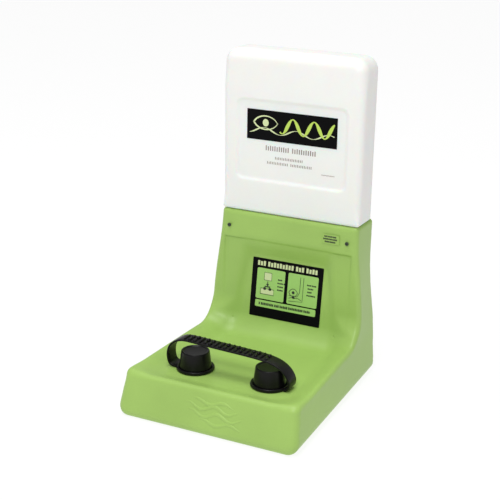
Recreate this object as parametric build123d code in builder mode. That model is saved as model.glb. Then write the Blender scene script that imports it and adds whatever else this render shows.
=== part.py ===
"""Gravity-fed eyewash station: a moulded casing holds a one-gallon cartridge upside down over a
basin, and pulling the strap takes the caps off two upward-facing nozzles.

Millimetres. +Z up, the basin reaches towards -Y, X runs across. The origin is on the floor, below
the middle of the overall box. Distances "forward" are measured from the back face towards -Y.
"""

import os

from build123d import *

os.makedirs("parts", exist_ok=True)

# ---------------------------------------------------------------- driving dimensions
HEIGHT = 560.0
DEPTH = 365.0
BACK_Y = DEPTH / 2

# Casing. A leaning face is given by its (forward, z) at its low and its high end.
WALL = 3.5
CASING_BOTTOM = 0.5
CASING_TOP = 279.5
HALF_WIDTH_BACK = [
    (142.5, 0.5), (141, 20), (139.6, 40), (138, 74),
    (136, 105), (132.7, 132), (129.5, 159), (126.8, 196),
]
HALF_WIDTH_FRONT = [
    (162.2, 0.5), (160.5, 20), (158.3, 40), (156.1, 74), (167.8, 105),
    (175.1, 135), (174.9, 162), (162.8, 200), (142.3, 240),
]
TOP_HALF_BACK = 127.6
TOP_HALF_FRONT = 130.0
OVERSHOOT = 20.0
FRONT_FACE = ((369.2, 0.5), (348.0, 75.5))
TRAY_BACK = (88.0, 81.5)
PILLAR_BLEND = 46.0
BAND_FACE = ((73.0, 232.0), (71.5, 273.0))
BAND_BEVEL = 6.5
BEVEL_INSET = 0.414
FRONT_ROUND = 13.0
LOWER_CORNER = 20.0
EDGE_ROUND = 9.0
PANEL_FACE = ((83.3, 128.0), (70.5, 229.5))
PANEL_HALF = 120.0
TOP_OPENING_HALF = 98.0
TOP_OPENING = (8.0, 62.0)

# Recess that carries the label, and the basin that it runs into
LABEL_FACE = ((77.4, 94.0), (63.3, 198.0))
LABEL_SIZE = (135.0, 105.0)
LABEL_THICK = 0.4
RECESS_TOP_HALF = 71.0
RECESS_TOP = 56.0
RECESS_FLARE = 0.164
RECESS_SLOPE = 1.6
CEILING_SLOPE = 2.25
RECESS_LOW = -90.0
RECESS_CORNER = 18.0
RECESS_REACH = 34.0
RECESS_PLAN = ((105.0, 50.0), (114.5, 116.0))
BASIN_FLOOR_Z = 64.0
BASIN_BACK = 112.0
BASIN_BACK_HALF = 100.0
BASIN_FLARE = 0.13
BASIN_FRONT = 321.0
BASIN_SLOPE = 14.0 / 12.0
BASIN_REACH = 24.0
BASIN_CORNER = 26.0
BASIN_BLEND = 33.0
SINK = 2.0

# Bottom plate, back cover, feet and the screws that hold them
PLATE_THICK = 3.0
PLATE_GAP = 0.4
PLATE_Z = 2.5
COVER_Z = (5.8, 275.6)
COVER_SCREW_Z = (40.0, 130.0, 215.0)
COVER_SCREW_X = (132.3, 125.8, 119.4)
PLATE_REACH = 350.0
PLATE_SCREWS = ((90.0, 140.0), (105.0, 300.0))
FOOT_PLACES = ((108.0, 30.0), (126.0, 330.0))
FOOT_RADIUS = 11.0
FOOT_POST = 9.0
BOSS_RADIUS = 5.0
BOSS_LENGTH = 25.0
SCREW_RADIUS = 1.75
HEAD_RADIUS = 3.2
HEAD_HEIGHT = 1.6
FIT = 0.05

# Wall mounting: four M6 threaded inserts in the back cover
MOUNT_SPACING = (150.0, 100.0)
MOUNT_Z = 170.0
INSERT_RADIUS = 5.0
INSERT_BORE = 3.0
INSERT_LENGTH = 9.0

# Cartridge
BOTTLE_FACE = ((67.0, 280.3), (66.0, 560.0))
BOTTLE_BACK = 5.0
BOTTLE_HALF = (127.7, 129.6)
BOTTLE_WALL = 2.2
BOTTLE_TOP_CORNER = 25.0
BOTTLE_TOP_ROUND = 17.0
BOTTLE_EDGE = 12.0
BOTTLE_BASE_ROUND = 4.5
STEP_HALF = 96.0
STEP_FORWARD = (10.0, 60.0)
STEP_Z = 240.5
NECK_FORWARD = 32.0
NECK_RADIUS = 19.0
NECK_WALL = 2.5
NECK_Z = 219.4
SUNK_PANEL = (207.0, 143.0)
SUNK_FLOOR = (185.0, 121.0)
SUNK_DEPTH = 2.8
SUNK_Z = 407.5
BANNER_SIZE = (166.0, 51.6)
BANNER_Z = 434.3
NECK_CAP_RADIUS = 22.8
NECK_CAP_Z = (216.6, 236.0)
FOIL_THICK = 0.4
FOIL_OPENING = 15.0

# Cartridge shelf, receiver and spike
SHELF_Z = 236.0
SHELF_THICK = 4.0
SHELF_HALF = 122.0
SHELF_FORWARD = (4.0, 67.5)
SHELF_HOLE = 24.5
LEDGE_X = (117.5, 140.0)
LEDGE_FORWARD = (8.0, 58.0)
LEDGE_THICK = 5.0
RAIL = (1.0, 4.0)
BAND_SCREW = (111.0, 252.3)
LUG = (16.0, 22.0, 12.0)
RECEIVER_Z = 209.0
RECEIVER_RADIUS = 26.5
RECEIVER_BORE = 24.0
RECEIVER_FLANGE = (84.0, 52.0)
RECEIVER_SCREWS = (72.0, 40.0)
FLOOR_THICK = 4.0
FLANGE_THICK = 4.0
OUTLET = (8.0, 9.0)
BARB_LENGTH = 18.0
SEAL_RADII = (22.5, 17.0)
SPIKE_RADIUS = 4.5
SPIKE_TOP = 232.0
VENT_X = 11.5
VENT_RADIUS = 1.9

# Waterway
HOSE_RADIUS = 7.0
HOSE_BORE = 5.0
BARB_RADIUS = 4.95
WATERWAY = 3.4
TEE_Z = 32.0
TEE_RADIUS = 7.5
TEE_ARM = 5.0
TEE_TOP = 12.0
BRANCH_BEND = 40.0
CLAMP_RADIUS = 8.1
CLAMP_WIDTH = 8.0
CLAMP_EAR = (7.0, 4.5)
SADDLE_FORWARD = 170.0
SADDLE_HALF = (12.0, 5.0)
POST_HALF = (6.0, 11.0)

# Nozzles
NOZZLE_X = 68.0
NOZZLE_FORWARD = 269.0
NOZZLE_TOP_Z = 89.0
NOZZLE_RADIUS = 18.6
STEM_RADIUS = 9.0
GASKET_THICK = 1.4
NOZZLE_FLANGE = (20.0, 3.0)
ROSE_RADIUS = 14.0
ROSE_DEPTH = 4.0
ROSE_HOLE = 1.2
ROSE_RINGS = ((9.5, 10), (4.8, 5))
NUT = (15.0, 6.9)
ELBOW = 26.0

# Rating label on the band
RATING_PLACE = (81.5, 255.0)
RATING_SIZE = (31.0, 17.0)
RATING_THICK = 0.25

# Caps and the strap that pulls them off
CAP_Z = 64.3
CAP_TOP_Z = 96.7
CAP_RADII = (27.0, 23.4)
CAP_LIP = (29.5, 66.2)
CAP_CLEARANCE = 0.4
RING_CLEARANCE = 0.2
RING_RADIUS = 31.9
RING_TOP_Z = 69.6
STRAP_WIDTH = 26.0
STRAP_THICK = 3.0
STRAP_ROUTE = [
    (-95, 66.8), (-113.7, 66.8), (-115.5, 102), (-90, 116.6),
    (60, 111.8), (109, 99), (107, 66.8), (95, 66.8),
]
STRAP_BENDS = [11, 17, 38, 60, 17, 10]
RIB_COUNT = 12
RIB_PITCH = 12.0
RIB_MIDDLE = -8.0
RIB_SIZE = (6.0, 19.0, 4.0)


def forward(distance):
    """Y of a place that lies this far forward of the back face."""
    return BACK_Y - distance


def upright(distance):
    """Upright plane this far forward of the back face, facing forward."""
    return Plane.XZ.offset(distance - BACK_Y)


def leaning(face, x, z, depth=0.0):
    """Plane lying on a leaning face at x and z, or below that face by a depth."""
    (low_forward, low_z), (high_forward, high_z) = face
    run = (low_forward - high_forward) / (high_z - low_z)
    origin = (x, forward(low_forward - run * (z - low_z)), z)
    return Plane(origin=origin, x_dir=(1, 0, 0), z_dir=(0, -1, run)).offset(-depth)


def save(builder, name):
    """Label a finished piece and write it."""
    builder.part.label = name
    export_step(builder.part, f"parts/{name}.step")


def column(radius, low, high, mode=Mode.ADD):
    """Upright cylinder between two heights, at the current location."""
    with Locations((0, 0, low)):
        Cylinder(radius, high - low, align=(Align.CENTER, Align.CENTER, Align.MIN), mode=mode)


def block(x, forward_range, z, mode=Mode.ADD):
    """Box given by its ranges across, forward and up."""
    centre = ((x[0] + x[1]) / 2, forward(sum(forward_range) / 2), (z[0] + z[1]) / 2)
    with Locations(centre):
        Box(x[1] - x[0], forward_range[1] - forward_range[0], z[1] - z[0], mode=mode)


# ---------------------------------------------------------------- casing
def casing_outline(plane, half_widths, top_half, inset, stretch=1.0):
    """Front view of the casing in one plane: two curved sides and rounded lower corners."""
    points = [(half - inset, stretch * z) for half, z in half_widths]
    low = (points[0][0], stretch * CASING_BOTTOM + inset)
    top = (top_half - inset, stretch * (CASING_TOP + OVERSHOOT))
    with BuildSketch(plane) as outline:
        with BuildLine():
            Spline(low, *points[1:], top, tangents=[(0, 1), (0, 1)])
            mirror(about=Plane.YZ)
            Line(top, (-top[0], top[1]))
            Line(low, (-low[0], low[1]))
        make_face()
        fillet(outline.vertices().sort_by(Axis.Y)[:2], radius=LOWER_CORNER - inset)
    return outline.sketch


def casing_sides(inset):
    """Solid between the casing's two sides, from the back to the rounded edge of the leaning front."""
    foot, rim = FRONT_FACE
    lean = (foot[0] - rim[0]) / (rim[1] - foot[1])
    stretch = (1 + lean**2) ** 0.5
    back = casing_outline(upright(0), HALF_WIDTH_BACK, TOP_HALF_BACK, inset)
    front_plane = leaning(FRONT_FACE, 0, 0, inset)
    front = casing_outline(front_plane, HALF_WIDTH_FRONT, TOP_HALF_FRONT, inset, stretch)
    with BuildPart() as sides:
        loft([back, front])
        front_edges = sides.faces().sort_by(Axis.Y)[0].edges().sort_by(Axis.Z)[:-1]
        fillet(front_edges, radius=FRONT_ROUND - inset)
        if inset:
            extrude(back, amount=-OVERSHOOT)
    return sides.part


def casing_form(inset):
    """Solid form of the casing, moved in by an inset and then left open behind."""
    behind = -OVERSHOOT if inset else 0
    rim_forward, rim_z = FRONT_FACE[1]
    profile = [
        (behind, CASING_BOTTOM - OVERSHOOT),
        (DEPTH + OVERSHOOT, CASING_BOTTOM - OVERSHOOT),
        (DEPTH + OVERSHOOT, rim_z - inset),
        (rim_forward - inset, rim_z - inset),
        (TRAY_BACK[0] - inset, TRAY_BACK[1] - inset),
        (BAND_FACE[0][0] - inset, BAND_FACE[0][1]),
        (BAND_FACE[1][0] - inset, BAND_FACE[1][1] - BEVEL_INSET * inset),
        (BAND_FACE[1][0] - BAND_BEVEL - BEVEL_INSET * inset, CASING_TOP - inset),
        (behind, CASING_TOP - inset),
    ]
    with BuildPart() as form:
        with BuildSketch(Plane.YZ):
            with BuildLine():
                Polyline([(forward(f), z) for f, z in profile], close=True)
            make_face()
        extrude(amount=DEPTH, both=True)
        foot = (0, forward(TRAY_BACK[0] - inset), TRAY_BACK[1] - inset)
        fillet(form.edges().filter_by(Axis.X).sort_by_distance(foot)[0], radius=PILLAR_BLEND + inset)
        add(casing_sides(inset), mode=Mode.INTERSECT)
        rim = form.edges().filter_by(
            lambda edge: edge.center().Y < forward(50)
            and rim_z - inset - 2 < edge.center().Z < BAND_FACE[1][1] - 3
            and (abs(edge.center().X) > 115 or edge.center().Y < forward(340))
        )
        fillet(rim, radius=EDGE_ROUND - inset)
    return form.part


def tapering_pocket(low_plane, low_outline, high_plane, high_outline):
    """Loft between two outlines, each a list of corners in its own plane."""
    sections = []
    for plane, outline in ((low_plane, low_outline), (high_plane, high_outline)):
        with BuildSketch(plane) as section:
            with BuildLine():
                Polyline(outline, close=True)
            make_face()
        sections.append(section.sketch)
    return loft(sections, mode=Mode.PRIVATE)


def recess_outline(depth, growth):
    """Recess at a depth in front of its floor, in the floor's plane: it widens and rises outward."""
    def half(y):
        flare = RECESS_FLARE * (RECESS_TOP - y)
        return RECESS_TOP_HALF + flare + RECESS_SLOPE * (depth + growth) + growth

    top = RECESS_TOP + growth + CEILING_SLOPE * (depth + growth)
    low = RECESS_LOW - growth
    knee = low + RECESS_CORNER
    right = [(half(knee) - RECESS_CORNER, low), (half(knee), knee), (half(top), top)]
    return right + [(-x, y) for x, y in reversed(right)]


def basin_outline(spread):
    """Plan of the basin from its back edge to its cut front corners, spread outward."""
    back, reach, side = BASIN_BACK_HALF, BASIN_FRONT + spread, BASIN_FLARE
    front = back + spread + side * (reach - BASIN_BACK)
    cut = BASIN_CORNER
    right = [
        (back + spread, forward(BASIN_BACK)),
        (front - side * cut, forward(reach - cut)),
        (front - 0.3 * cut, forward(reach - 0.3 * cut)),
        (front - cut, forward(reach)),
    ]
    return right + [(-x, y) for x, y in reversed(right)]


def scoop(growth):
    """Hollow of the recess and the basin together, grown on every side.

    Both pockets start a little below their floors, and the side view then cuts the floors.
    """
    middle = (LABEL_FACE[0][1] + LABEL_FACE[1][1]) / 2
    floor_z = BASIN_FLOOR_Z - growth
    recess = tapering_pocket(
        leaning(LABEL_FACE, 0, middle, growth + SINK),
        recess_outline(-growth - SINK, growth),
        leaning(LABEL_FACE, 0, middle, -RECESS_REACH),
        recess_outline(RECESS_REACH, growth),
    )
    basin = tapering_pocket(
        Plane.XY.offset(floor_z - SINK),
        basin_outline(growth - BASIN_SLOPE * SINK),
        Plane.XY.offset(BASIN_FLOOR_Z + BASIN_REACH),
        basin_outline(growth + BASIN_SLOPE * (BASIN_REACH + growth)),
    )
    run = (LABEL_FACE[0][0] - LABEL_FACE[1][0]) / (LABEL_FACE[1][1] - LABEL_FACE[0][1])
    corner = LABEL_FACE[0][0] - growth + run * (LABEL_FACE[0][1] - floor_z)
    with BuildPart() as hollow:
        add(recess)
        with BuildSketch():
            with BuildLine():
                (narrow, near), (wide, far) = RECESS_PLAN
                right = [(narrow + growth, forward(near)), (wide + growth, forward(far))]
                Polyline(right + [(-x, y) for x, y in reversed(right)], close=True)
            make_face()
        extrude(amount=HEIGHT, mode=Mode.INTERSECT)
        add(basin)
        with BuildSketch(Plane.YZ):
            with BuildLine():
                outer = [
                    (corner, floor_z),
                    (DEPTH + OVERSHOOT, floor_z),
                    (DEPTH + OVERSHOOT, HEIGHT),
                    (corner - run * (HEIGHT - floor_z), HEIGHT),
                ]
                Polyline([(forward(f), z) for f, z in outer], close=True)
            face = make_face()
            foot = face.vertices().sort_by_distance((forward(corner), floor_z))[0]
            fillet(foot, radius=BASIN_BLEND + growth)
        extrude(amount=DEPTH, both=True, mode=Mode.INTERSECT)
    return hollow.part


def panel_cut(growth):
    """Shallow set-back of the face below the band, between the casing's rounded edges."""
    (low_forward, low_z), (high_forward, high_z) = PANEL_FACE
    with BuildPart() as cut:
        with BuildSketch(Plane.YZ):
            with BuildLine():
                corners = [
                    (low_forward - growth, low_z),
                    (high_forward - growth, high_z + growth),
                    (BAND_FACE[0][0] + 0.2, BAND_FACE[0][1] + growth),
                    (low_forward + 25, BAND_FACE[0][1] + growth),
                    (low_forward + 25, low_z),
                ]
                Polyline([(forward(f), z) for f, z in corners], close=True)
            make_face()
        extrude(amount=PANEL_HALF + growth, both=True)
    return cut.part


cover_screws = [(side * x, z) for side in (-1, 1) for x, z in zip(COVER_SCREW_X, COVER_SCREW_Z)]
plate_screws = [(side * x, forward(f)) for side in (-1, 1) for x, f in PLATE_SCREWS]
foot_places = [(side * x, forward(f)) for side in (-1, 1) for x, f in FOOT_PLACES]
nozzle_places = [(side * NOZZLE_X, forward(NOZZLE_FORWARD)) for side in (-1, 1)]

with BuildPart() as casing_inside:
    add(casing_form(WALL))
    add(scoop(WALL), mode=Mode.SUBTRACT)
    add(panel_cut(WALL), mode=Mode.SUBTRACT)
    with BuildSketch(upright(PLATE_THICK + FIT)):
        with Locations(*cover_screws):
            Circle(BOSS_RADIUS)
    extrude(amount=BOSS_LENGTH, mode=Mode.SUBTRACT)
    with Locations(*[(x, y, 0) for x, y in plate_screws]):
        column(BOSS_RADIUS, PLATE_Z + PLATE_THICK + FIT, BASIN_FLOOR_Z, mode=Mode.SUBTRACT)
    for side in (-1, 1):
        ledge = sorted((side * LEDGE_X[0], side * LEDGE_X[1]))
        block(ledge, LEDGE_FORWARD, (SHELF_Z - LEDGE_THICK, SHELF_Z - FIT), mode=Mode.SUBTRACT)

plate_outline = [
    (HALF_WIDTH_BACK[0][0] - LOWER_CORNER, forward(0)),
    (HALF_WIDTH_FRONT[0][0] - LOWER_CORNER - 1, forward(PLATE_REACH)),
]
plate_outline += [(-x, y) for x, y in reversed(plate_outline)]

with BuildPart() as front_shell:
    add(casing_form(0))
    add(scoop(0), mode=Mode.SUBTRACT)
    add(panel_cut(0), mode=Mode.SUBTRACT)
    add(casing_inside.part, mode=Mode.SUBTRACT)
    with BuildSketch():
        with BuildLine():
            Polyline(plate_outline, close=True)
        make_face()
    extrude(amount=PLATE_Z + PLATE_THICK, mode=Mode.SUBTRACT)
    opening = (-TOP_OPENING_HALF, TOP_OPENING_HALF)
    block(opening, TOP_OPENING, (CASING_TOP - WALL - 1, CASING_TOP + 1), mode=Mode.SUBTRACT)
    with Locations(*[(x, y, 0) for x, y in nozzle_places]):
        column(STEM_RADIUS + 0.3, BASIN_FLOOR_Z - WALL - 1, BASIN_FLOOR_Z + 1, mode=Mode.SUBTRACT)
    with BuildSketch(upright(PLATE_THICK)):
        with Locations(*cover_screws):
            Circle(SCREW_RADIUS + FIT)
    extrude(amount=BOSS_LENGTH - 5, mode=Mode.SUBTRACT)
    with BuildSketch(Plane.XY.offset(PLATE_Z)):
        with Locations(*plate_screws):
            Circle(SCREW_RADIUS + FIT)
    extrude(amount=BOSS_LENGTH - 3, mode=Mode.SUBTRACT)
    with BuildSketch(upright(60)):
        with Locations((-BAND_SCREW[0], BAND_SCREW[1]), BAND_SCREW):
            Circle(SCREW_RADIUS + FIT)
    extrude(amount=20, mode=Mode.SUBTRACT)
save(front_shell, "front_shell")


with BuildPart() as back_cover:
    edge = casing_outline(upright(0), HALF_WIDTH_BACK, TOP_HALF_BACK, WALL + PLATE_GAP)
    extrude(edge, amount=PLATE_THICK)
    with BuildSketch(upright(PLATE_THICK)):
        with GridLocations(*MOUNT_SPACING, 2, 2):
            with Locations((0, MOUNT_Z)):
                Circle(INSERT_RADIUS + WALL)
    extrude(amount=INSERT_LENGTH - PLATE_THICK)
    with BuildSketch(upright(0)):
        with GridLocations(*MOUNT_SPACING, 2, 2):
            with Locations((0, MOUNT_Z)):
                Circle(INSERT_RADIUS + FIT)
        with Locations(*cover_screws):
            Circle(SCREW_RADIUS + FIT)
    extrude(amount=INSERT_LENGTH, mode=Mode.SUBTRACT)
    with BuildSketch(upright(0)):
        with Locations(*cover_screws):
            Circle(HEAD_RADIUS + 0.3)
    extrude(amount=HEAD_HEIGHT + 0.2, mode=Mode.SUBTRACT)
    block((-DEPTH, DEPTH), (-OVERSHOOT, OVERSHOOT), (-2 * OVERSHOOT, COVER_Z[0]), mode=Mode.SUBTRACT)
    block((-DEPTH, DEPTH), (-OVERSHOOT, OVERSHOOT), (COVER_Z[1], HEIGHT), mode=Mode.SUBTRACT)
save(back_cover, "back_cover")

with BuildPart() as wall_mount_inserts:
    with BuildSketch(upright(0)):
        with GridLocations(*MOUNT_SPACING, 2, 2):
            with Locations((0, MOUNT_Z)):
                Circle(INSERT_RADIUS)
                Circle(INSERT_BORE, mode=Mode.SUBTRACT)
    extrude(amount=INSERT_LENGTH)
save(wall_mount_inserts, "wall_mount_inserts")

with BuildPart() as bottom_plate:
    with BuildSketch(Plane.XY.offset(PLATE_Z)):
        with BuildLine():
            Polyline(plate_outline, close=True)
        plate_face = make_face()
        offset(plate_face, amount=-PLATE_GAP, kind=Kind.INTERSECTION, mode=Mode.REPLACE)
    extrude(amount=PLATE_THICK)
    with Locations(*[(x, y, 0) for x, y in foot_places]):
        column(BOSS_RADIUS, PLATE_Z, PLATE_Z + FOOT_POST)
        column(SCREW_RADIUS + FIT, PLATE_Z, PLATE_Z + FOOT_POST, mode=Mode.SUBTRACT)
    with Locations(*[(x, y, 0) for x, y in plate_screws]):
        column(SCREW_RADIUS + FIT, PLATE_Z, PLATE_Z + PLATE_THICK, mode=Mode.SUBTRACT)
save(bottom_plate, "bottom_plate")


# ---------------------------------------------------------------- fasteners and feet
def pan_head_screws(plane, places, length, name):
    """Cross-recessed pan-head screws whose shanks run from one plane along its normal."""
    with BuildPart() as screws:
        with BuildSketch(plane):
            with Locations(*places):
                Circle(SCREW_RADIUS)
        extrude(amount=length)
        with BuildSketch(plane):
            with Locations(*places):
                Circle(HEAD_RADIUS)
        extrude(amount=-HEAD_HEIGHT)
        with BuildSketch(plane.offset(-HEAD_HEIGHT)):
            with Locations(*places):
                Rectangle(HEAD_RADIUS * 1.1, HEAD_RADIUS * 0.3)
                Rectangle(HEAD_RADIUS * 0.3, HEAD_RADIUS * 1.1)
        extrude(amount=HEAD_HEIGHT * 0.6, mode=Mode.SUBTRACT)
    save(screws, name)


pan_head_screws(upright(HEAD_HEIGHT + 0.2), cover_screws, BOSS_LENGTH - 10, "back_cover_screws")
pan_head_screws(Plane.XY.offset(PLATE_Z), plate_screws, BOSS_LENGTH - 8, "bottom_plate_screws")
pan_head_screws(Plane.XY.offset(HEAD_HEIGHT + 0.2), foot_places, 8, "foot_screws")

with BuildPart() as rubber_feet:
    with Locations(*[(x, y, 0) for x, y in foot_places]):
        column(FOOT_RADIUS, 0, PLATE_Z)
        column(HEAD_RADIUS + 0.2, 0, HEAD_HEIGHT + 0.2, mode=Mode.SUBTRACT)
        column(SCREW_RADIUS + FIT, 0, PLATE_Z, mode=Mode.SUBTRACT)
save(rubber_feet, "rubber_feet")


# ---------------------------------------------------------------- cartridge
def bottle_outlines(inset):
    """Side and front half-widths of the bottle's body, moved in by an inset."""
    low, high = BOTTLE_FACE
    return (
        (low[0] - inset, low[1] + inset, BOTTLE_HALF[0] - inset),
        (high[0] - inset, high[1] - inset, BOTTLE_HALF[1] - inset),
    )


def bottle_body(inset):
    """The bottle's tapering body with its large top corners, moved in by an inset."""
    low, high = bottle_outlines(inset)
    back = BOTTLE_BACK + inset
    sections = []
    for reach, z, half in (low, high):
        with BuildSketch(Plane.XY.offset(z)) as section:
            with Locations((0, forward((reach + back) / 2))):
                RectangleRounded(2 * half, reach - back, BOTTLE_EDGE - inset)
        sections.append(section.sketch)
    with BuildPart() as body:
        loft(sections)
        with BuildSketch(Plane.XZ):
            with BuildLine():
                corners = [(low[2], low[1]), (high[2], high[1])]
                Polyline(corners + [(-x, z) for x, z in reversed(corners)], close=True)
            front = make_face()
            fillet(front.vertices().group_by(Axis.Y)[-1], radius=BOTTLE_TOP_CORNER - inset)
            fillet(front.vertices().group_by(Axis.Y)[0], radius=BOTTLE_BASE_ROUND - inset)
        extrude(amount=DEPTH, both=True, mode=Mode.INTERSECT)
        with BuildSketch(Plane.YZ):
            with BuildLine():
                side = [(low[0], low[1]), (high[0], high[1]), (back + 1, high[1]), (back, low[1])]
                Polyline([(forward(f), z) for f, z in side], close=True)
            profile = make_face()
            fillet(profile.vertices().group_by(Axis.Y)[-1], radius=BOTTLE_TOP_ROUND - inset)
            fillet(profile.vertices().group_by(Axis.Y)[0], radius=BOTTLE_BASE_ROUND - inset)
        extrude(amount=DEPTH, both=True, mode=Mode.INTERSECT)
    return body.part


def sunk_panel(growth):
    """The shallow panel sunk into the bottle's front, grown on every side."""
    sections = []
    for (width, height), depth in ((SUNK_FLOOR, SUNK_DEPTH + growth), (SUNK_PANEL, 0), (SUNK_PANEL, -9)):
        with BuildSketch(leaning(BOTTLE_FACE, 0, SUNK_Z, depth)) as section:
            RectangleRounded(width + 2 * growth, height + 2 * growth, 12 + growth)
        sections.append(section.sketch)
    return loft(sections, ruled=True, mode=Mode.PRIVATE)


def bottle_step(inset):
    """The narrower lower part that enters the casing, moved in by an inset."""
    with BuildPart() as step:
        with BuildSketch(Plane.XY.offset(STEP_Z + inset)):
            with Locations((0, forward(sum(STEP_FORWARD) / 2))):
                width = STEP_FORWARD[1] - STEP_FORWARD[0]
                RectangleRounded(2 * (STEP_HALF - inset), width - 2 * inset, 9 - inset)
        extrude(amount=60)
    return step.part


with BuildPart() as bottle_inside:
    add(bottle_body(BOTTLE_WALL))
    add(sunk_panel(BOTTLE_WALL), mode=Mode.SUBTRACT)
    add(bottle_step(BOTTLE_WALL))
    with Locations((0, forward(NECK_FORWARD), 0)):
        column(NECK_RADIUS - NECK_WALL, NECK_Z, STEP_Z + 10)

with BuildPart() as cartridge_bottle:
    add(bottle_body(0))
    add(sunk_panel(0), mode=Mode.SUBTRACT)
    add(bottle_step(0))
    with Locations((0, forward(NECK_FORWARD), 0)):
        column(NECK_RADIUS, NECK_Z, STEP_Z + 10)
    add(bottle_inside.part, mode=Mode.SUBTRACT)
save(cartridge_bottle, "cartridge_bottle")

with BuildPart() as cartridge_banner:
    with BuildSketch(leaning(BOTTLE_FACE, 0, BANNER_Z, SUNK_DEPTH)):
        Rectangle(*BANNER_SIZE)
    extrude(amount=LABEL_THICK)
save(cartridge_banner, "cartridge_banner")

with BuildPart() as cartridge_cap:
    with Locations((0, forward(NECK_FORWARD), 0)):
        column(NECK_CAP_RADIUS, *NECK_CAP_Z)
        column(NECK_RADIUS + FIT, NECK_Z - FOIL_THICK, NECK_CAP_Z[1], mode=Mode.SUBTRACT)
        column(FOIL_OPENING + 0.5, NECK_CAP_Z[0], NECK_Z, mode=Mode.SUBTRACT)
save(cartridge_cap, "cartridge_cap")

with BuildPart() as foil_seal:
    with Locations((0, forward(NECK_FORWARD), 0)):
        column(NECK_RADIUS, NECK_Z - FOIL_THICK, NECK_Z)
        column(FOIL_OPENING, NECK_Z - FOIL_THICK, NECK_Z, mode=Mode.SUBTRACT)
save(foil_seal, "foil_seal")


# ---------------------------------------------------------------- shelf and receiver
band_screws = [(side * BAND_SCREW[0], BAND_SCREW[1]) for side in (-1, 1)]
receiver_screws = [
    (x, forward(NECK_FORWARD) + y)
    for x in (-RECEIVER_SCREWS[0] / 2, RECEIVER_SCREWS[0] / 2)
    for y in (-RECEIVER_SCREWS[1] / 2, RECEIVER_SCREWS[1] / 2)
]
shelf_top = SHELF_Z + SHELF_THICK
barb_low = RECEIVER_Z - OUTLET[1] - BARB_LENGTH

with BuildPart() as cartridge_shelf:
    block((-SHELF_HALF, SHELF_HALF), SHELF_FORWARD, (SHELF_Z, shelf_top))
    for side in (-1, 1):
        lug = sorted((side * (BAND_SCREW[0] - LUG[0] / 2), side * (BAND_SCREW[0] + LUG[0] / 2)))
        block(lug, (SHELF_FORWARD[1] - LUG[2], SHELF_FORWARD[1]), (SHELF_Z, SHELF_Z + LUG[1]))
        rail = sorted((side * (STEP_HALF + RAIL[0]), side * (STEP_HALF + RAIL[1])))
        block(rail, (STEP_FORWARD[0], STEP_FORWARD[1] - 6), (SHELF_Z, SHELF_Z + LUG[1]))
    with Locations((0, forward(NECK_FORWARD), 0)):
        column(SHELF_HOLE, SHELF_Z, shelf_top, mode=Mode.SUBTRACT)
    with BuildSketch(upright(SHELF_FORWARD[1])):
        with Locations(*band_screws):
            Circle(SCREW_RADIUS + FIT)
    extrude(amount=-LUG[2], mode=Mode.SUBTRACT)
    with Locations(*[(x, y, 0) for x, y in receiver_screws]):
        column(SCREW_RADIUS + FIT, SHELF_Z, shelf_top, mode=Mode.SUBTRACT)
save(cartridge_shelf, "cartridge_shelf")

band_plane = leaning(BAND_FACE, 0, BAND_SCREW[1], -0.15)
pan_head_screws(
    Plane(band_plane.origin, x_dir=(1, 0, 0), z_dir=(0, 1, 0)),
    [(x, 0) for x, z in band_screws],
    LUG[2] + 3,
    "band_screws",
)

with BuildPart() as receiver_body:
    with Locations((0, forward(NECK_FORWARD), SHELF_Z - FLANGE_THICK / 2 - FIT)):
        Box(*RECEIVER_FLANGE, FLANGE_THICK)
    with Locations((0, forward(NECK_FORWARD), 0)):
        column(RECEIVER_RADIUS, RECEIVER_Z, SHELF_Z - 1)
        column(OUTLET[0], RECEIVER_Z - OUTLET[1], RECEIVER_Z)
        column(BARB_RADIUS, barb_low, RECEIVER_Z)
        column(RECEIVER_BORE, RECEIVER_Z + FLOOR_THICK, SHELF_Z, mode=Mode.SUBTRACT)
        column(SPIKE_RADIUS + FIT, RECEIVER_Z, SHELF_Z, mode=Mode.SUBTRACT)
        column(WATERWAY, barb_low, SHELF_Z, mode=Mode.SUBTRACT)
    with Locations((VENT_X, forward(NECK_FORWARD), 0)):
        column(VENT_RADIUS + FIT, RECEIVER_Z, SHELF_Z, mode=Mode.SUBTRACT)
    with Locations(*[(x, y, 0) for x, y in receiver_screws]):
        column(SCREW_RADIUS + FIT, SHELF_Z - 6, SHELF_Z, mode=Mode.SUBTRACT)
save(receiver_body, "receiver_body")
pan_head_screws(Plane.XY.offset(SHELF_Z - FLANGE_THICK - FIT), receiver_screws, 7.4, "receiver_screws")

with BuildPart() as piercing_spike:
    with Locations((0, forward(NECK_FORWARD), 0)):
        column(SPIKE_RADIUS, RECEIVER_Z, SPIKE_TOP)
        column(WATERWAY - 0.4, RECEIVER_Z, SPIKE_TOP, mode=Mode.SUBTRACT)
    tip = Plane((0, forward(NECK_FORWARD), SPIKE_TOP - 6), z_dir=(0.8, 0, 0.6))
    split(bisect_by=tip, keep=Keep.BOTTOM)
save(piercing_spike, "piercing_spike")

with BuildPart() as vent_tube:
    with Locations((VENT_X, forward(NECK_FORWARD), 0)):
        column(VENT_RADIUS, RECEIVER_Z - 12, SPIKE_TOP - 3)
        column(VENT_RADIUS - 0.6, RECEIVER_Z - 12, SPIKE_TOP - 3, mode=Mode.SUBTRACT)
save(vent_tube, "vent_tube")

with BuildPart() as receiver_seal:
    with Locations((0, forward(NECK_FORWARD), 0)):
        column(SEAL_RADII[0], RECEIVER_Z + FLOOR_THICK, NECK_CAP_Z[0] - 0.3)
        column(SEAL_RADII[1], RECEIVER_Z + FLOOR_THICK, NECK_CAP_Z[0], mode=Mode.SUBTRACT)
save(receiver_seal, "receiver_seal")


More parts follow.
